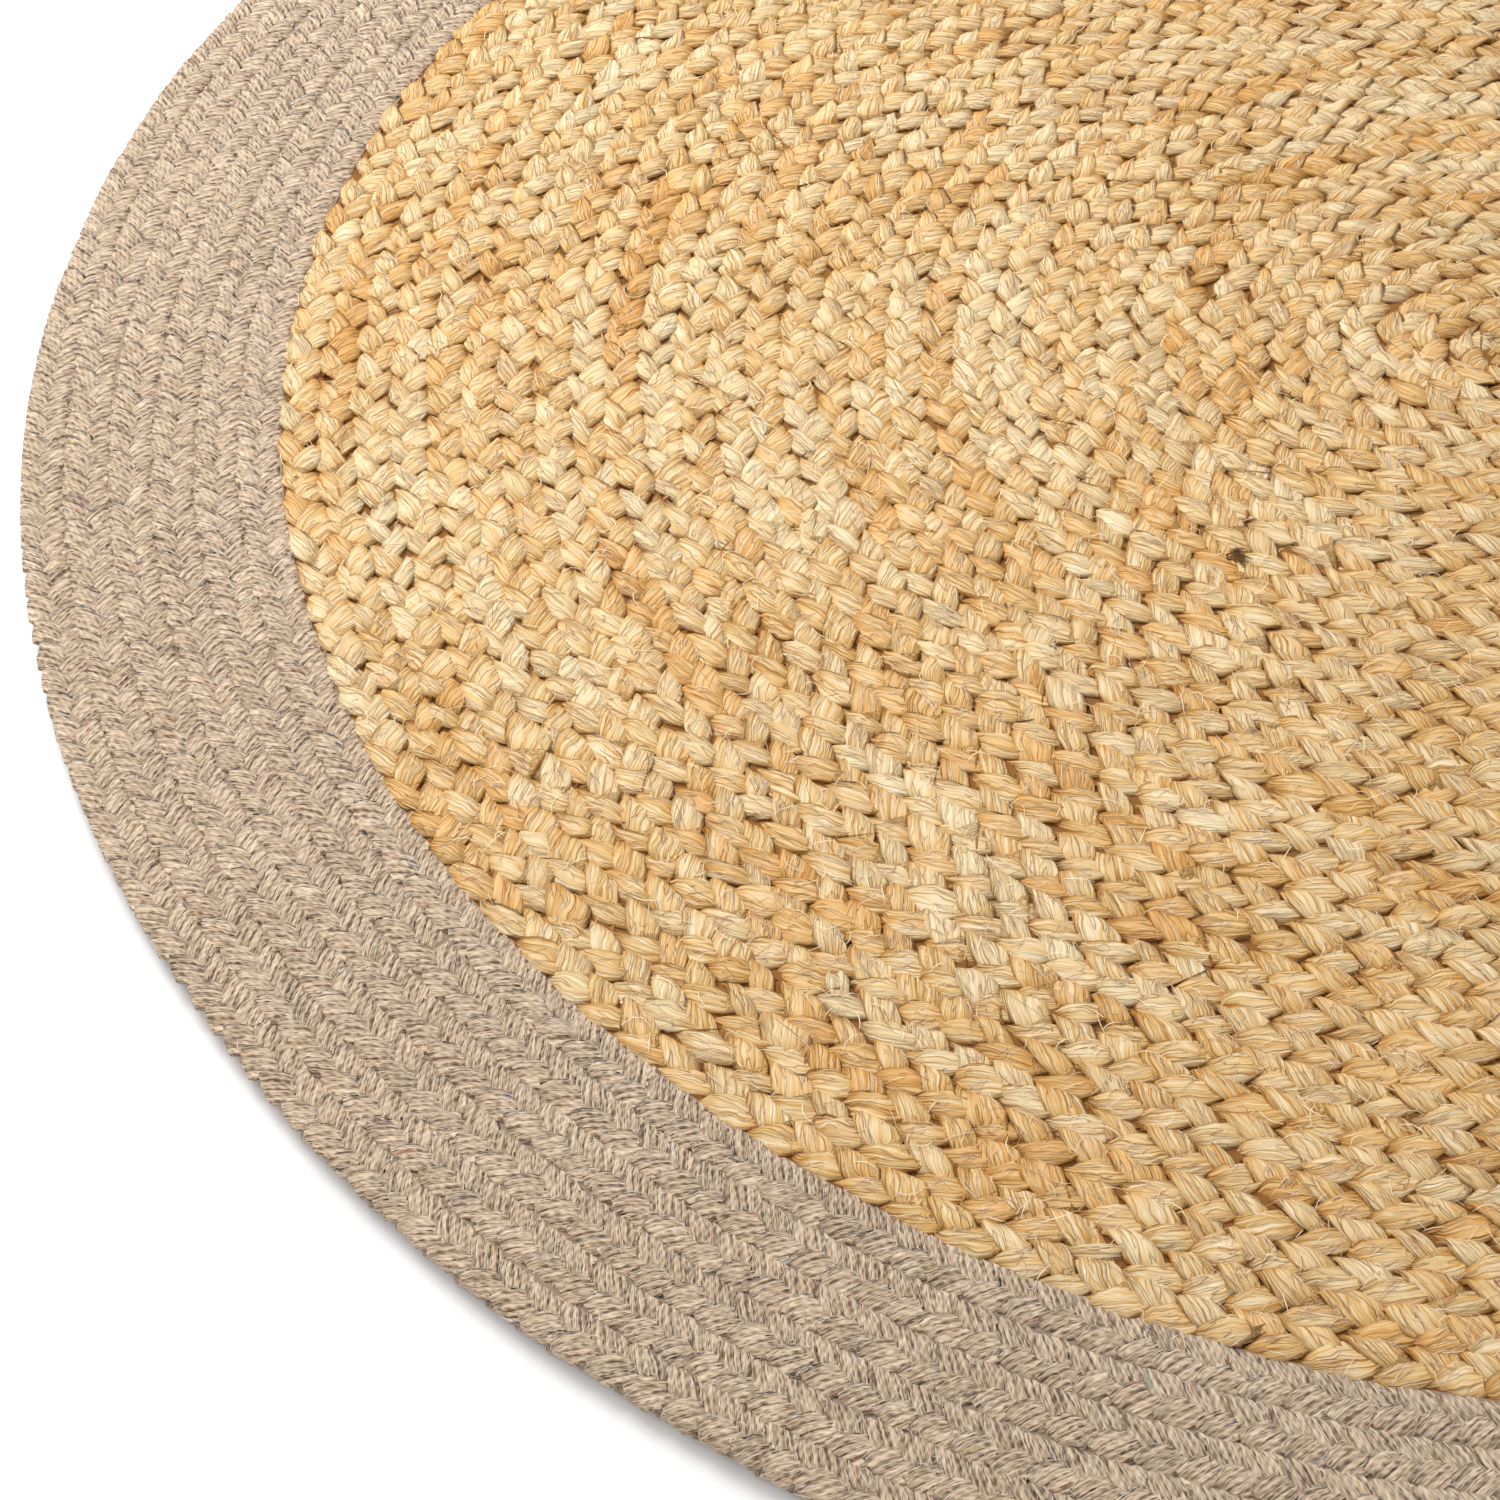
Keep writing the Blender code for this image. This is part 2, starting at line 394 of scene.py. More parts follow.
def makeJute():
    look = juteLook
    material, tree = newMaterial("juteBastFibreTwisted")
    place = addNode(tree, "ShaderNodeUVMap", uv_map="strandMap")
    tone = addNode(tree, "ShaderNodeAttribute", attribute_name="plyTone")
    # how far a plait is from tucking under, for the painted shade at the tuck
    top = addNode(tree, "ShaderNodeAttribute", attribute_name="plyTop")
    parts = addNode(tree, "ShaderNodeSeparateXYZ", {0: place.outputs["UV"]})
    lean = addNode(tree, "ShaderNodeMath", {
        0: parts.outputs["X"], 1: look["fibreTwist"] / look["strandRound"], 2: parts.outputs["Y"],
    }, operation="MULTIPLY_ADD")
    shift = addNode(tree, "ShaderNodeMath", {0: tone.outputs["Fac"], 1: plaitShift}, operation="MULTIPLY")
    straight = addNode(tree, "ShaderNodeCombineXYZ", {"X": parts.outputs["X"], "Y": parts.outputs["Y"],
                                                      "Z": shift.outputs[0]})
    strayPlace = patchPlace(tree, straight, look, "stray")
    stray = addNode(tree, "ShaderNodeTexNoise", {"Vector": strayPlace.outputs[0], "Scale": 1.0,
                                                 "Detail": 1.0})
    strayed = addNode(tree, "ShaderNodeMath", {
        0: stray.outputs["Fac"], 1: look["stray"] / look["strandRound"], 2: lean.outputs[0],
    }, operation="MULTIPLY_ADD")
    leaned = addNode(tree, "ShaderNodeCombineXYZ", {"X": parts.outputs["X"], "Y": strayed.outputs[0],
                                                    "Z": shift.outputs[0]})
    streakPlace = patchPlace(tree, leaned, look, "streak")
    ribbonPlace = patchPlace(tree, leaned, look, "ribbon")
    streak = addNode(tree, "ShaderNodeTexNoise", {"Vector": streakPlace.outputs[0], "Scale": 1.0,
                                                  "Detail": 3.0, "Roughness": 0.6})
    ribbon = addNode(tree, "ShaderNodeTexNoise", {"Vector": ribbonPlace.outputs[0], "Scale": 1.0,
                                                  "Detail": 1.0, "Roughness": 0.5})
    spot = addNode(tree, "ShaderNodeTexCoord")
    patch = addNode(tree, "ShaderNodeTexNoise", {"Vector": spot.outputs["Object"],
                                                 "Scale": 1 / look["patchSize"], "Detail": 2.0})
    lotPlace = addNode(tree, "ShaderNodeMath", {0: parts.outputs["X"], 1: 1 / look["lotLength"]},
                       operation="MULTIPLY")
    lot = addNode(tree, "ShaderNodeTexNoise", {"W": lotPlace.outputs[0], "Scale": 1.0, "Detail": 3.0},
                  noise_dimensions="1D")
    # 0 along the strand's crown, 1 at its two flanks, where painted shade falls against the next strand
    offCrown = addNode(tree, "ShaderNodeMath", {0: parts.outputs["Y"], 1: look["crownRound"]},
                       operation="SUBTRACT")
    aside = addNode(tree, "ShaderNodeMath", {0: offCrown.outputs[0]}, operation="ABSOLUTE")
    edge = addNode(tree, "ShaderNodeMapRange", {"Value": aside.outputs[0], "From Min": look["edgeShadeRange"][0],
                                                "From Max": look["edgeShadeRange"][1]})
    # every share is about its middle, so the shares can be changed one by one
    shade = addNode(tree, "ShaderNodeValue")
    shade.outputs[0].default_value = look["shade"]
    for source, share, middle in (
            (streak.outputs["Fac"], look["streakShare"], 0.5),
            (ribbon.outputs["Fac"], look["ribbonShare"], 0.5),
            (tone.outputs["Fac"], look["toneShare"], 0.5),
            (patch.outputs["Fac"], look["patchShare"], 0.5),
            (lot.outputs["Fac"], look["lotShare"], 0.5),
            # painted shade at the flanks, where a strand lies against the next one
            (edge.outputs[0], -look["edgeShadeShare"], 0.1),
            # painted shade where a plait tucks under, a little lighter on its crown
            (top.outputs["Fac"], look["tuckShadeShare"], 0.9)):
        offset = addNode(tree, "ShaderNodeMath", {0: source, 1: middle}, operation="SUBTRACT")
        shade = addNode(tree, "ShaderNodeMath", {0: offset.outputs[0], 1: share, 2: shade.outputs[0]},
                        operation="MULTIPLY_ADD")
    ramp = addNode(tree, "ShaderNodeValToRGB", {"Fac": shade.outputs[0]})
    stops = ramp.color_ramp.elements
    stops[0].color = hexColour(look["brown"])
    stops[1].color = hexColour(look["pale"])
    for at, name in look["rampStops"]:
        stops.new(at).color = hexColour(look[name])
    # some plaits are of greyer, longer retted fibre and some of raw orange fibre
    kind = addNode(tree, "ShaderNodeTexWhiteNoise", {"W": tone.outputs["Fac"]}, noise_dimensions="1D")
    mixed = addNode(tree, "ShaderNodeMath", {0: kind.outputs["Value"], 1: look["kindShare"],
                                             2: lot.outputs["Fac"]}, operation="MULTIPLY_ADD")
    hued = ramp.outputs["Color"]
    for name in ("grey", "orange"):
        start, full = look[name + "Range"]
        share = addNode(tree, "ShaderNodeMapRange", {"Value": mixed.outputs[0], "From Min": start,
                                                     "From Max": full, "To Max": look["hueShare"]})
        tinted = addNode(tree, "ShaderNodeMix", {0: 1.0, 6: hued, 7: hexColour(look[name])},
                         data_type="RGBA", blend_type="COLOR")
        hued = addNode(tree, "ShaderNodeMix", {0: share.outputs[0], 6: hued, 7: tinted.outputs[2]},
                       data_type="RGBA").outputs[2]
    # painted shade: a dark line where two ribbons of fibre lie side by side
    seamAt = addNode(tree, "ShaderNodeMath", {0: ribbon.outputs["Fac"], 1: 0.5}, operation="SUBTRACT")
    seamOff = addNode(tree, "ShaderNodeMath", {0: seamAt.outputs[0]}, operation="ABSOLUTE")
    seam = addNode(tree, "ShaderNodeMapRange", {"Value": seamOff.outputs[0], "From Min": look["seamWidth"],
                                                "From Max": 0.0})
    # the darkest streaks get painted shade too, as slits between fibres
    hole = addNode(tree, "ShaderNodeMapRange", {"Value": streak.outputs["Fac"],
                                                "From Min": look["holeRange"][0],
                                                "From Max": look["holeRange"][1]})
    darkest = addNode(tree, "ShaderNodeMath", {0: seam.outputs[0], 1: hole.outputs[0]}, operation="MAXIMUM")
    slit = addNode(tree, "ShaderNodeMath", {0: darkest.outputs[0], 1: look["slitShadeShare"]},
                   operation="MULTIPLY")
    colour = addNode(tree, "ShaderNodeMix", {0: slit.outputs[0], 6: hued,
                                             7: hexColour(look["slit"])}, data_type="RGBA")
    ribbonBump = addNode(tree, "ShaderNodeBump", {"Height": ribbon.outputs["Fac"],
                                                  "Distance": look["ribbonHeight"]})
    fibres = addNode(tree, "ShaderNodeMath", {0: seam.outputs[0], 1: -look["seamDepth"],
                                              2: streak.outputs["Fac"]}, operation="MULTIPLY_ADD")
    streakBump = addNode(tree, "ShaderNodeBump", {"Height": fibres.outputs[0],
                                                  "Distance": look["streakHeight"],
                                                  "Normal": ribbonBump.outputs[0]})
    shader = addNode(tree, "ShaderNodeBsdfPrincipled", {
        "Base Color": colour.outputs[2], "Roughness": look["roughness"], "IOR": look["ior"],
        "Specular IOR Level": look["specular"], "Normal": streakBump.outputs[0]})
    addNode(tree, "ShaderNodeOutputMaterial", {"Surface": shader.outputs[0]})
    return material


# cotton: recycled greige yarn, ring-spun and plied. Matt, with painted shade at each yarn's sides and along
# its twist, heathered, with a bright fleck here and there from the cloth that it was made of
cottonLook = {
    "light": "EAD2B5", "middle": "BEA183", "deep": "72543A",
    "middleAt": 0.4,         # on the ramp from deep at 0 to light at 1
    "shade": 0.66,           # where on that ramp plain yarn lies
    "toneShare": 0.12,       # one plait is paler than the next
    "strandRound": 24 * mm,
    "yarnRows": len(cottonBraid["ply"]),   # points round a strand: every second is a yarn's crest
    "waverLength": 9 * mm, "waverWidth": 5 * mm, "waver": 3.0,   # how far a yarn strays, in radians
    # the twist share paints each twist lighter on its crest and darker in its trough, as its bump rises and
    # falls
    "twistLength": 3.2 * mm, "twistRelief": 0.35, "twistShadeShare": 0.13,
    # here and there two yarns part, and the painted shade in the groove between them is darker
    "openLength": 7 * mm, "openWidth": 2.2 * mm, "openRange": (0.38, 0.62), "openLeast": 0.1,
    # painted shade in the grooves between yarns, where the crest is low
    "grooveShadeShare": 0.57, "grooveShadeRange": (0.3, -1.0),
    "heatherLength": 5 * mm, "heatherWidth": 1.0 * mm, "heatherShare": 2.5,
    "flecks": ((0.0, "F4F0E6"), (0.35, "D9B45E"), (0.6, "5E7290"), (0.75, "B05A3C"), (0.9, "7E9A76")),
    "fleckScale": 0.55, "fleckSeed": 3.0, "fleckRange": (0.79, 0.82), "fleckShare": 0.7,
    "roughness": 0.9, "ior": 1.5,
    "sheen": 0.25,           # the fuzz on the yarn, pale at a flat angle
    "yarnHeight": 0.5 * mm, "yarnStrength": 0.7, "heatherHeight": 0.95 * mm,
}


def makeCotton():
    look = cottonLook
    material, tree = newMaterial("cottonYarnPlied")
    place = addNode(tree, "ShaderNodeUVMap", uv_map="strandMap")
    tone = addNode(tree, "ShaderNodeAttribute", attribute_name="plyTone")
    parts = addNode(tree, "ShaderNodeSeparateXYZ", {0: place.outputs["UV"]})
    shift = addNode(tree, "ShaderNodeMath", {0: tone.outputs["Fac"], 1: plaitShift}, operation="MULTIPLY")
    moved = addNode(tree, "ShaderNodeCombineXYZ", {"X": parts.outputs["X"], "Y": parts.outputs["Y"],
                                                   "Z": shift.outputs[0]})
    # the same place measured in patches of three sizes
    noises = {}
    for name, detail in (("waver", 1.0), ("open", 1.0), ("heather", 2.0)):
        scaled = patchPlace(tree, moved, look, name)
        noises[name] = addNode(tree, "ShaderNodeTexNoise", {"Vector": scaled.outputs[0], "Scale": 1.0,
                                                            "Detail": detail, "Roughness": 0.6})
    waved = addNode(tree, "ShaderNodeMath", {0: noises["waver"].outputs["Fac"], 1: look["waver"],
                                             2: -0.5 * look["waver"]}, operation="MULTIPLY_ADD")
    yarns = addNode(tree, "ShaderNodeMath", {0: parts.outputs["Y"], 1: look["yarnRows"] * math.pi,
                                             2: waved.outputs[0]}, operation="MULTIPLY_ADD")
    crest = addNode(tree, "ShaderNodeMath", {0: yarns.outputs[0]}, operation="COSINE")
    groove = addNode(tree, "ShaderNodeMapRange", {"Value": crest.outputs[0],
                                                  "From Min": look["grooveShadeRange"][0],
                                                  "From Max": look["grooveShadeRange"][1]})
    twistAt = addNode(tree, "ShaderNodeMath", {0: parts.outputs["X"], 1: 2 * math.pi / look["twistLength"],
                                               2: yarns.outputs[0]}, operation="MULTIPLY_ADD")
    twist = addNode(tree, "ShaderNodeMath", {0: twistAt.outputs[0]}, operation="SINE")
    opened = addNode(tree, "ShaderNodeMapRange", {"Value": noises["open"].outputs["Fac"],
                                                  "From Min": look["openRange"][0],
                                                  "From Max": look["openRange"][1],
                                                  "To Min": look["openLeast"], "To Max": 1.0})
    # painted shade in the grooves between yarns, deeper where two yarns part
    dark = addNode(tree, "ShaderNodeMath", {0: groove.outputs[0], 1: opened.outputs[0]},
                   operation="MULTIPLY")
    shade = addNode(tree, "ShaderNodeMath", {
        0: noises["heather"].outputs["Fac"], 1: look["heatherShare"],
        2: look["shade"] - 0.5 * look["heatherShare"],
    }, operation="MULTIPLY_ADD")
    shade = addNode(tree, "ShaderNodeMath", {0: dark.outputs[0], 1: -look["grooveShadeShare"],
                                             2: shade.outputs[0]}, operation="MULTIPLY_ADD")
    shade = addNode(tree, "ShaderNodeMath", {0: tone.outputs["Fac"], 1: look["toneShare"],
                                             2: shade.outputs[0]}, operation="MULTIPLY_ADD")
    # painted shade along the yarn's twist, lighter where its bump is high
    shade = addNode(tree, "ShaderNodeMath", {0: twist.outputs[0], 1: look["twistShadeShare"],
                                             2: shade.outputs[0]}, operation="MULTIPLY_ADD", use_clamp=True)
    yarnRamp = addNode(tree, "ShaderNodeValToRGB", {"Fac": shade.outputs[0]})
    yarnRamp.color_ramp.elements[0].color = hexColour(look["deep"])
    yarnRamp.color_ramp.elements[1].color = hexColour(look["light"])
    yarnRamp.color_ramp.elements.new(look["middleAt"]).color = hexColour(look["middle"])
    fleckPlace = patchPlace(tree, moved, look, "heather")
    fleck = addNode(tree, "ShaderNodeTexNoise", {
        "Vector": fleckPlace.outputs[0], "Scale": look["fleckScale"], "Detail": 0.0,
        "W": look["fleckSeed"]}, noise_dimensions="4D")
    fleckShare = addNode(tree, "ShaderNodeMapRange", {"Value": fleck.outputs["Fac"],
                                                      "From Min": look["fleckRange"][0],
                                                      "From Max": look["fleckRange"][1],
                                                      "To Max": look["fleckShare"]})
    kind = addNode(tree, "ShaderNodeTexWhiteNoise", {"W": tone.outputs["Fac"]}, noise_dimensions="1D")
    ramp = addNode(tree, "ShaderNodeValToRGB", {"Fac": kind.outputs["Value"]})
    ramp.color_ramp.interpolation = "CONSTANT"
    stops = ramp.color_ramp.elements
    for stop, (at, code) in zip(stops, look["flecks"]):
        stop.position = at
        stop.color = hexColour(code)
    for at, code in look["flecks"][2:]:
        stops.new(at).color = hexColour(code)
    colour = addNode(tree, "ShaderNodeMix", {0: fleckShare.outputs[0], 6: yarnRamp.outputs["Color"],
                                             7: ramp.outputs["Color"]}, data_type="RGBA")
    relief = addNode(tree, "ShaderNodeMath", {0: twist.outputs[0], 1: look["twistRelief"],
                                              2: crest.outputs[0]}, operation="MULTIPLY_ADD")
    yarnBump = addNode(tree, "ShaderNodeBump", {"Height": relief.outputs[0],
                                                "Strength": look["yarnStrength"],
                                                "Distance": look["yarnHeight"]})
    heatherBump = addNode(tree, "ShaderNodeBump", {"Height": noises["heather"].outputs["Fac"],
                                                   "Distance": look["heatherHeight"],
                                                   "Normal": yarnBump.outputs[0]})
    shader = addNode(tree, "ShaderNodeBsdfPrincipled", {
        "Base Color": colour.outputs[2], "Roughness": look["roughness"], "IOR": look["ior"],
        "Sheen Weight": look["sheen"], "Normal": heatherBump.outputs[0]})
    addNode(tree, "ShaderNodeOutputMaterial", {"Surface": shader.outputs[0]})
    return material


juteMaterial = makeJute()
cottonMaterial = makeCotton()
for piece in jutePieces:
    piece.data.materials.append(juteMaterial)
for piece in cottonPieces:
    piece.data.materials.append(cottonMaterial)
print("braid materials made")


# the ground: a plain sheet under the strands, in place of what is seen deep between the plaits, coloured
# darker than the fibre as painted shade.
# It also says that the rug is one laid cloth
ground = {
    "radius": rugRadius - 5 * mm, "corners": 180,
    "bottom": 0.4 * mm, "juteTop": 6.6 * mm, "cottonTop": 7.2 * mm,
    "juteShadedColour": "8E5E2A", "cottonShadedColour": "9A8672",
}


def makeGround():
    corners = ground["corners"]
    turn = 2 * math.pi * np.arange(corners) / corners
    profile = [(ground["radius"], ground["bottom"]), (ground["radius"], ground["cottonTop"]),
               (juteBraid["outer"], ground["cottonTop"]), (juteBraid["outer"], ground["juteTop"])]
    points = [(r * math.cos(a), r * math.sin(a), z) for r, z in profile for a in turn]
    faces = []
    for ring in range(0, 3 * corners, corners):
        for i in range(corners):
            here, following = ring + i, ring + (i + 1) % corners
            faces.append((here, following, following + corners, here + corners))
    faces += [tuple(range(corners))[::-1], tuple(range(3 * corners, 4 * corners))]
    mesh = bpy.data.meshes.new("rugGround")
    mesh.from_pydata(points, [], faces)
    piece = bpy.data.objects.new("rugGround", mesh)
    bpy.context.scene.collection.objects.link(piece)
    # hidden strands and thread: dull, and darker than the fibres as painted shade, so the gaps read as
    # depth. Brown under jute, greige under cotton
    material, tree = newMaterial("hiddenThreadPaintedShade")
    spot = addNode(tree, "ShaderNodeTexCoord")
    reach = addNode(tree, "ShaderNodeVectorMath", {0: spot.outputs["Object"]}, operation="LENGTH")
    beyond = addNode(tree, "ShaderNodeMath", {0: reach.outputs["Value"], 1: juteBraid["outer"]},
                     operation="GREATER_THAN")
    colour = addNode(tree, "ShaderNodeMix", {0: beyond.outputs[0], 6: hexColour(ground["juteShadedColour"]),
                                             7: hexColour(ground["cottonShadedColour"])}, data_type="RGBA")
    shader = addNode(tree, "ShaderNodeBsdfPrincipled", {"Base Color": colour.outputs[2], "Roughness": 1.0})
    addNode(tree, "ShaderNodeOutputMaterial", {"Surface": shader.outputs[0]})
    mesh.materials.append(material)
    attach(piece, "root")
    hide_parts("jute_braid_field")


# fibres that lie on the plaits, loose hairs across them, lint and a fleck of bark. Each is a
# flat ribbon, as a round hair this thin would look the same
ribbonLook = {
    "taper": 0.6, "taperPower": 3,   # how much narrower the ends are, and how suddenly
    "bowMiddle": 0.6,        # taken off the bow, so that a bowed hair lies round its own place
    "risePower": 0.7,        # under 1, a hair leaves the plait steeply
    "sideGap": 0.05, "rowGap": 0.1,   # round each ribbon's cell on its map
    "roughness": 0.6, "specular": 0.25,
}
plaitFibres = {
    "name": "jutePlaitFibres", "seed": 47, "slot": "jute", "count": 24000, "segments": 2, "columns": 32,
    "width": 0.3 * mm, "startRow": (0.0, 1.3), "endRow": (1.9, 3.4),
    "across": 0.85, "farthest": 0.95, "drift": 0.9,   # in half widths of the strand
    "lift": (0.05 * mm, 0.35 * mm), "bow": 0.4 * mm,
    "dark": "945C28", "light": "FAE6C2", "finish": "juteFibreSurface",
}
juteHairs = {
    "name": "juteHairs", "seed": 41, "slot": "jute", "count": 7200, "segments": 3, "columns": 12,
    "inner": 0.0, "outer": 0.497, "sectorDeg": (0, 360),
    "length": (3 * mm, 12 * mm), "width": 0.32 * mm,
    "foot": 8.8 * mm, "rise": (0.2 * mm, 1.8 * mm), "bow": 0.2, "spreadDeg": 60,
    "dark": "A06C34", "light": "FFEFCB", "finish": "juteFibreLoose",
}
cottonLint = {
    "name": "cottonLint", "seed": 43, "slot": "cotton", "count": 5400, "segments": 3, "columns": 12,
    "inner": 0.499, "outer": 0.596, "sectorDeg": (0, 360),
    "length": (2.5 * mm, 6 * mm), "width": 0.2 * mm,
    "foot": 8.3 * mm, "rise": (0.3 * mm, 1.3 * mm), "bow": 0.35, "spreadDeg": 180,
    "dark": "B89C80", "light": "F8EEDF", "finish": "cottonLint",
}
# a fleck of dark bark that was left in the fibre
barkFleck = {
    "name": "juteBarkFleck", "seed": 53, "slot": "jute", "count": 14, "segments": 3, "columns": 4,
    "inner": 0.1645, "outer": 0.1695, "sectorDeg": (-136.4, -134.9),
    "length": (3 * mm, 8 * mm), "width": 0.7 * mm,
    "foot": 8.4 * mm, "rise": (0.2 * mm, 1.0 * mm), "bow": 0.25, "spreadDeg": 30,
    "dark": "241308", "light": "7A4C20", "finish": "juteBarkDry",
}


# the lines of fibres that follow a braid's plaits, and which way each ribbon is wide
def fibresOnPlaits(kind, braid, paths):
    rng = np.random.default_rng(kind["seed"])
    count = kind["count"] // len(paths)
    share = np.linspace(0, 1, kind["segments"] + 1)
    spines, acrosses = [], []
    for centre, sideways, outOf, size in paths:
        rows = len(braid["plait"])
        start = rng.integers(1, len(centre) // rows - 1, count) * rows
        start = start + rng.uniform(*kind["startRow"], count)
        end = np.floor(start / rows) * rows + rng.uniform(*kind["endRow"], count)
        row = start[:, None] + (end - start)[:, None] * share
        before, part = row.astype(int), row - np.floor(row)

        def at(values):
            return (values[before].T * (1 - part.T) + values[before + 1].T * part.T).T

        x = rng.uniform(-kind["across"], kind["across"], (count, 1))
        x = x + rng.normal(0, kind["drift"], (count, 1)) * (share - 0.5)
        x = np.clip(x, -kind["farthest"], kind["farthest"])
        lift = rng.uniform(*kind["lift"], (count, 1)) + kind["bow"] * np.sin(math.pi * share)
        up = fullness(x) * at(size[1]) + lift
        spines.append(at(centre) + at(sideways) * (x * at(size[0]))[..., None] + at(outOf) * up[..., None])
        acrosses.append(at(sideways))
    return np.concatenate(spines), np.concatenate(acrosses), rng


# the lines of loose hairs, whose headings are spread about the course's own
def hairsOnTop(kind):
    rng = np.random.default_rng(kind["seed"])
    count = kind["count"]

    def pick(low, high):
        return rng.uniform(low, high, (count, 1))

    radius = np.sqrt(pick(kind["inner"] ** 2, kind["outer"] ** 2))
    angle = np.radians(pick(*kind["sectorDeg"]))
    heading = angle + math.pi / 2 + np.radians(kind["spreadDeg"]) * rng.normal(0, 1, (count, 1))
    length = pick(*kind["length"])
    bow = kind["bow"] * rng.normal(0, 1, (count, 1))
    share = np.linspace(0, 1, kind["segments"] + 1)[None, :]
    ahead = length * (share - 0.5)
    aside = bow * length * (np.sin(math.pi * share) - ribbonLook["bowMiddle"])
    x = radius * np.cos(angle) + ahead * np.cos(heading) - aside * np.sin(heading)
    y = radius * np.sin(angle) + ahead * np.sin(heading) + aside * np.cos(heading)
    lift = kind["foot"] + pick(*kind["rise"]) * np.sin(math.pi * share) ** ribbonLook["risePower"]
    across = heading + np.arctan(bow * math.pi * np.cos(math.pi * share)) + math.pi / 2
    level = np.stack([np.cos(across), np.sin(across), np.zeros(across.shape)], axis=-1)
    return np.stack([x, y, lift], axis=-1), level, rng


def makeRibbons(kind, spine, across, rng):
    count, steps = spine.shape[:2]
    fromMiddle = np.abs(2 * np.linspace(0, 1, steps) - 1)
    taper = 1 - ribbonLook["taper"] * fromMiddle ** ribbonLook["taperPower"]
    halfWidth = across * (kind["width"] / 2 * taper)[:, None]
    points = np.stack([spine - halfWidth, spine + halfWidth], axis=2)
    first = np.arange(count)[:, None] * steps * 2 + np.arange(steps - 1)[None, :] * 2
    quads = np.stack([first, first + 2, first + 3, first + 1], axis=-1).reshape(-1, 4)
    mesh = bpy.data.meshes.new(kind["name"])
    mesh.from_pydata(points.reshape(-1, 3).tolist(), [], quads.tolist())
    layer = mesh.attributes.new("hairTone", "FLOAT", "POINT")
    layer.data.foreach_set("value", np.repeat(rng.uniform(0, 1, count), steps * 2).astype(np.float32))
    # OFBake: one row of squares for each hair, in columns
    columns = kind["columns"]
    sideGap, rowGap = ribbonLook["sideGap"], ribbonLook["rowGap"]
    rows = math.ceil(count / columns)
    cell, place = np.divmod(np.arange(len(quads)), steps - 1)
    left = (cell % columns + sideGap + (1 - 2 * sideGap) * place / (steps - 1)) / columns
    right = left + (1 - 2 * sideGap) / (steps - 1) / columns
    low = (cell // columns + rowGap) / rows
    high = (cell // columns + (1 - rowGap)) / rows
    bake = np.stack([left, low, right, low, right, high, left, high], axis=-1)
    for title in ("hairMap", "OFBake"):
        mesh.uv_layers.new(name=title).uv.foreach_set("vector", bake.astype(np.float32).ravel())
    piece = bpy.data.objects.new(kind["name"], mesh)
    bpy.context.scene.collection.objects.link(piece)
    material, tree = newMaterial(kind["finish"])
    tone = addNode(tree, "ShaderNodeAttribute", attribute_name="hairTone")
    colour = addNode(tree, "ShaderNodeMix", {0: tone.outputs["Fac"], 6: hexColour(kind["dark"]),
                                             7: hexColour(kind["light"])}, data_type="RGBA")
    shader = addNode(tree, "ShaderNodeBsdfPrincipled", {
        "Base Color": colour.outputs[2], "Roughness": ribbonLook["roughness"],
        "Specular IOR Level": ribbonLook["specular"]})
    addNode(tree, "ShaderNodeOutputMaterial", {"Surface": shader.outputs[0]})
    mesh.materials.append(material)
    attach(piece, "root")
    print(kind["name"], count, "fibres")


makeGround()
makeRibbons(plaitFibres, *fibresOnPlaits(plaitFibres, juteBraid, jutePaths))
makeRibbons(juteHairs, *hairsOnTop(juteHairs))
makeRibbons(cottonLint, *hairsOnTop(cottonLint))
makeRibbons(barkFleck, *hairsOnTop(barkFleck))


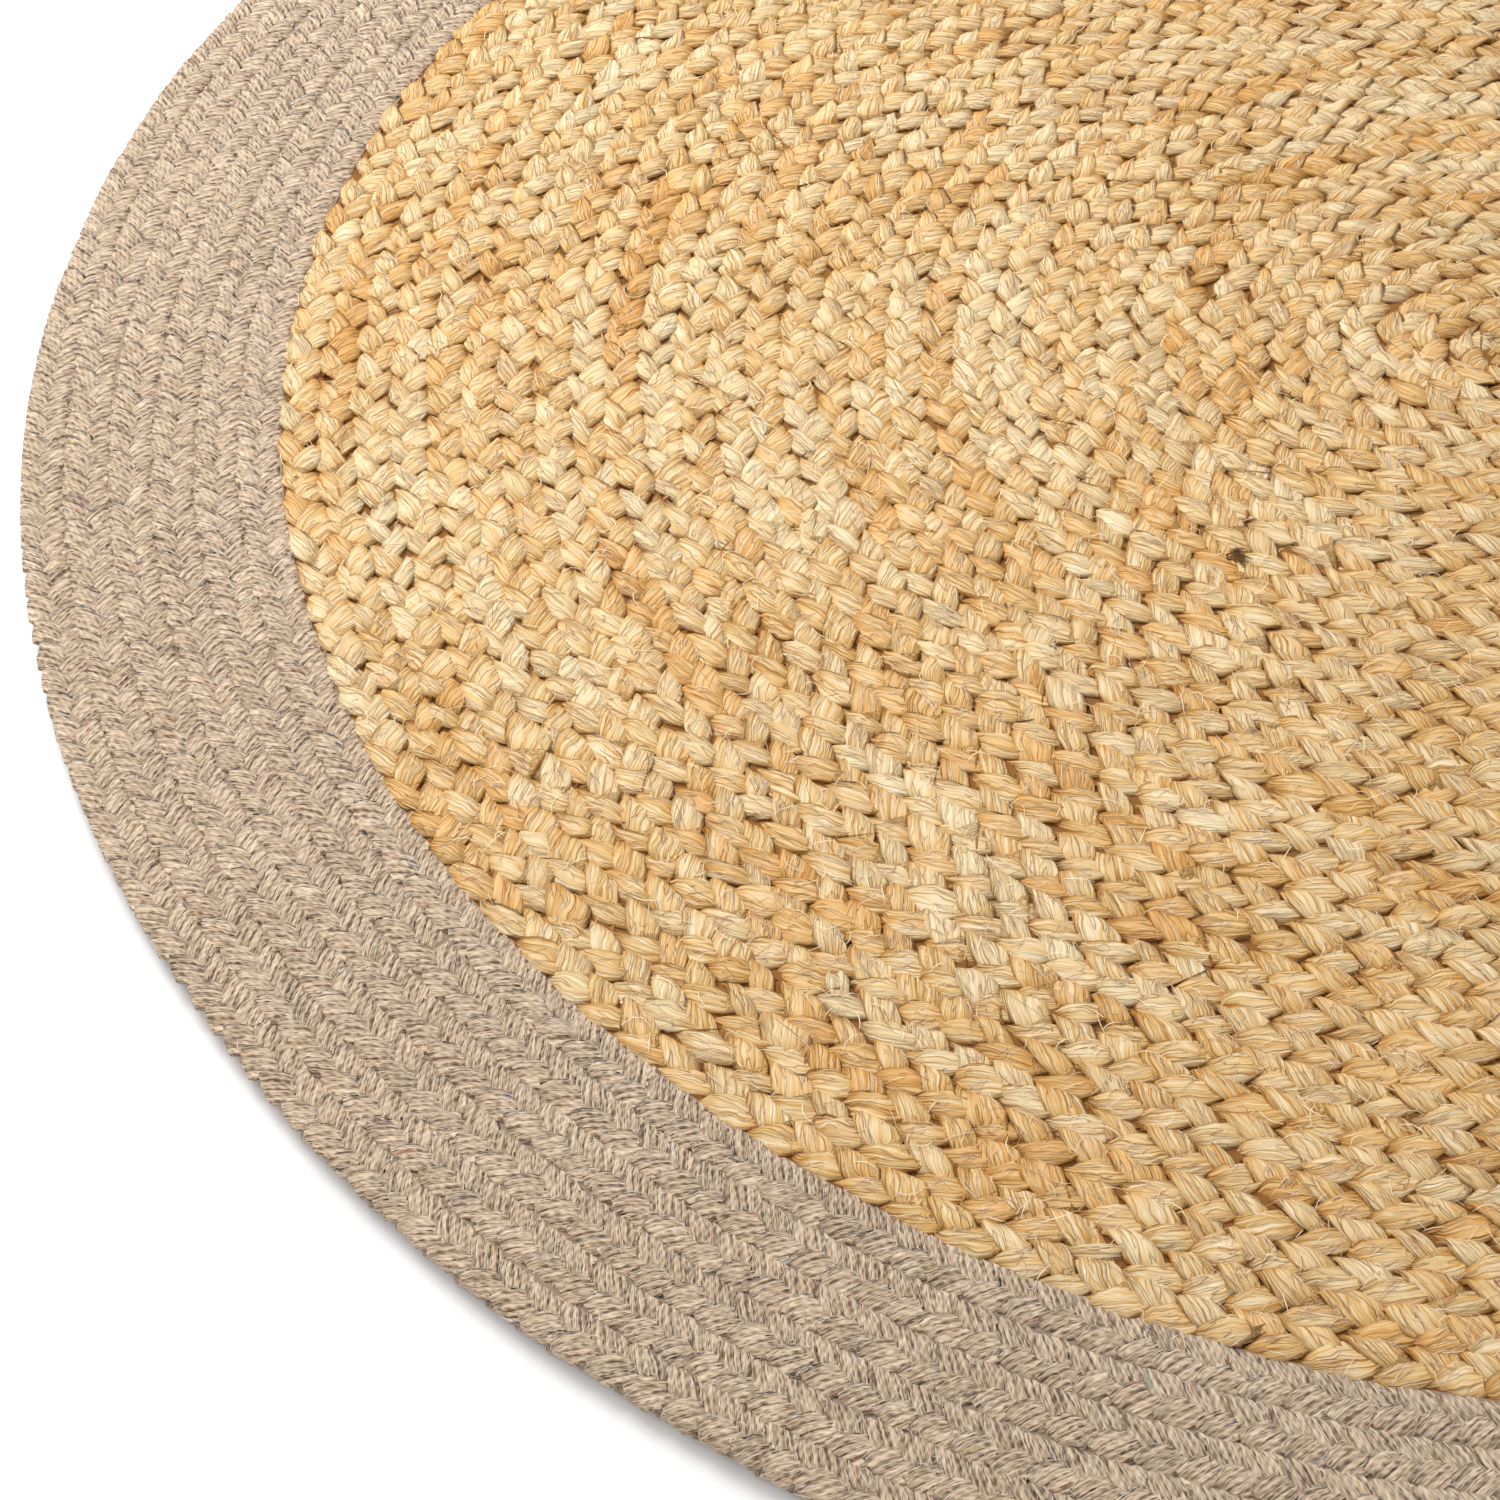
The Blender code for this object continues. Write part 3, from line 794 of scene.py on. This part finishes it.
# floor, light and camera. Each light has a power, a size and a place, and looks at the origin
studio = {
    "floorSize": 30.0, "floorColour": "FAFAFA", "floorRoughness": 0.9,
    "floorDrop": 0.2 * mm,   # so that the rug's underside and the floor aren't in one plane
    "world": 0.58, "lights": [
        ("keyLight", 21.0, 1.2, (-0.9, 0.65, 1.2)),
        ("fillLight", 5.0, 1.4, (-1.2, -0.65, 1.15)),
    ],
    # fitted to the rug's round outlines in the photo; degrees below level, lens and sensor in mm
    "cameraPlace": (-0.3071, -1.0355, 0.8874), "pitchDown": 47.088, "lens": 79.26, "sensor": 36,
}

floorMesh = bpy.data.meshes.new("floor")
half = studio["floorSize"] / 2
floorCorners = [(-half, -half, 0), (half, -half, 0), (half, half, 0), (-half, half, 0)]
floorMesh.from_pydata(floorCorners, [], [(0, 1, 2, 3)])
floor = bpy.data.objects.new("floor", floorMesh)
floor.location.z = -studio["floorDrop"]
bpy.context.scene.collection.objects.link(floor)
floorMaterial = bpy.data.materials.new("paintedFloorMatt")
floorMaterial.use_nodes = True
floorShader = floorMaterial.node_tree.nodes["Principled BSDF"]
floorShader.inputs["Base Color"].default_value = hexColour(studio["floorColour"])
floorShader.inputs["Roughness"].default_value = studio["floorRoughness"]
floorMesh.materials.append(floorMaterial)

world = bpy.data.worlds.new("studio")
bpy.context.scene.world = world
world.use_nodes = True
world.node_tree.nodes["Background"].inputs["Color"].default_value = (1, 1, 1, 1)
world.node_tree.nodes["Background"].inputs["Strength"].default_value = studio["world"]

for title, power, size, place in studio["lights"]:
    lightData = bpy.data.lights.new(title, "AREA")
    lightData.shape = "DISK"
    lightData.size = size
    lightData.energy = power
    light = bpy.data.objects.new(title, lightData)
    light.location = place
    light.rotation_euler = (-Vector(place)).to_track_quat("-Z", "Y").to_euler()
    bpy.context.scene.collection.objects.link(light)

cameraData = bpy.data.cameras.new("camera")
cameraData.lens = studio["lens"]
cameraData.sensor_width = studio["sensor"]
camera = bpy.data.objects.new("camera", cameraData)
camera.location = studio["cameraPlace"]
camera.rotation_euler = (math.radians(90 - studio["pitchDown"]), 0, 0)
bpy.context.scene.collection.objects.link(camera)
bpy.context.scene.camera = camera
bpy.context.scene.view_settings.view_transform = "Standard"
triangles = 0
for mesh in bpy.data.meshes:
    mesh.calc_loop_triangles()
    triangles += len(mesh.loop_triangles)
print("studio set,", triangles, "triangles in all meshes")
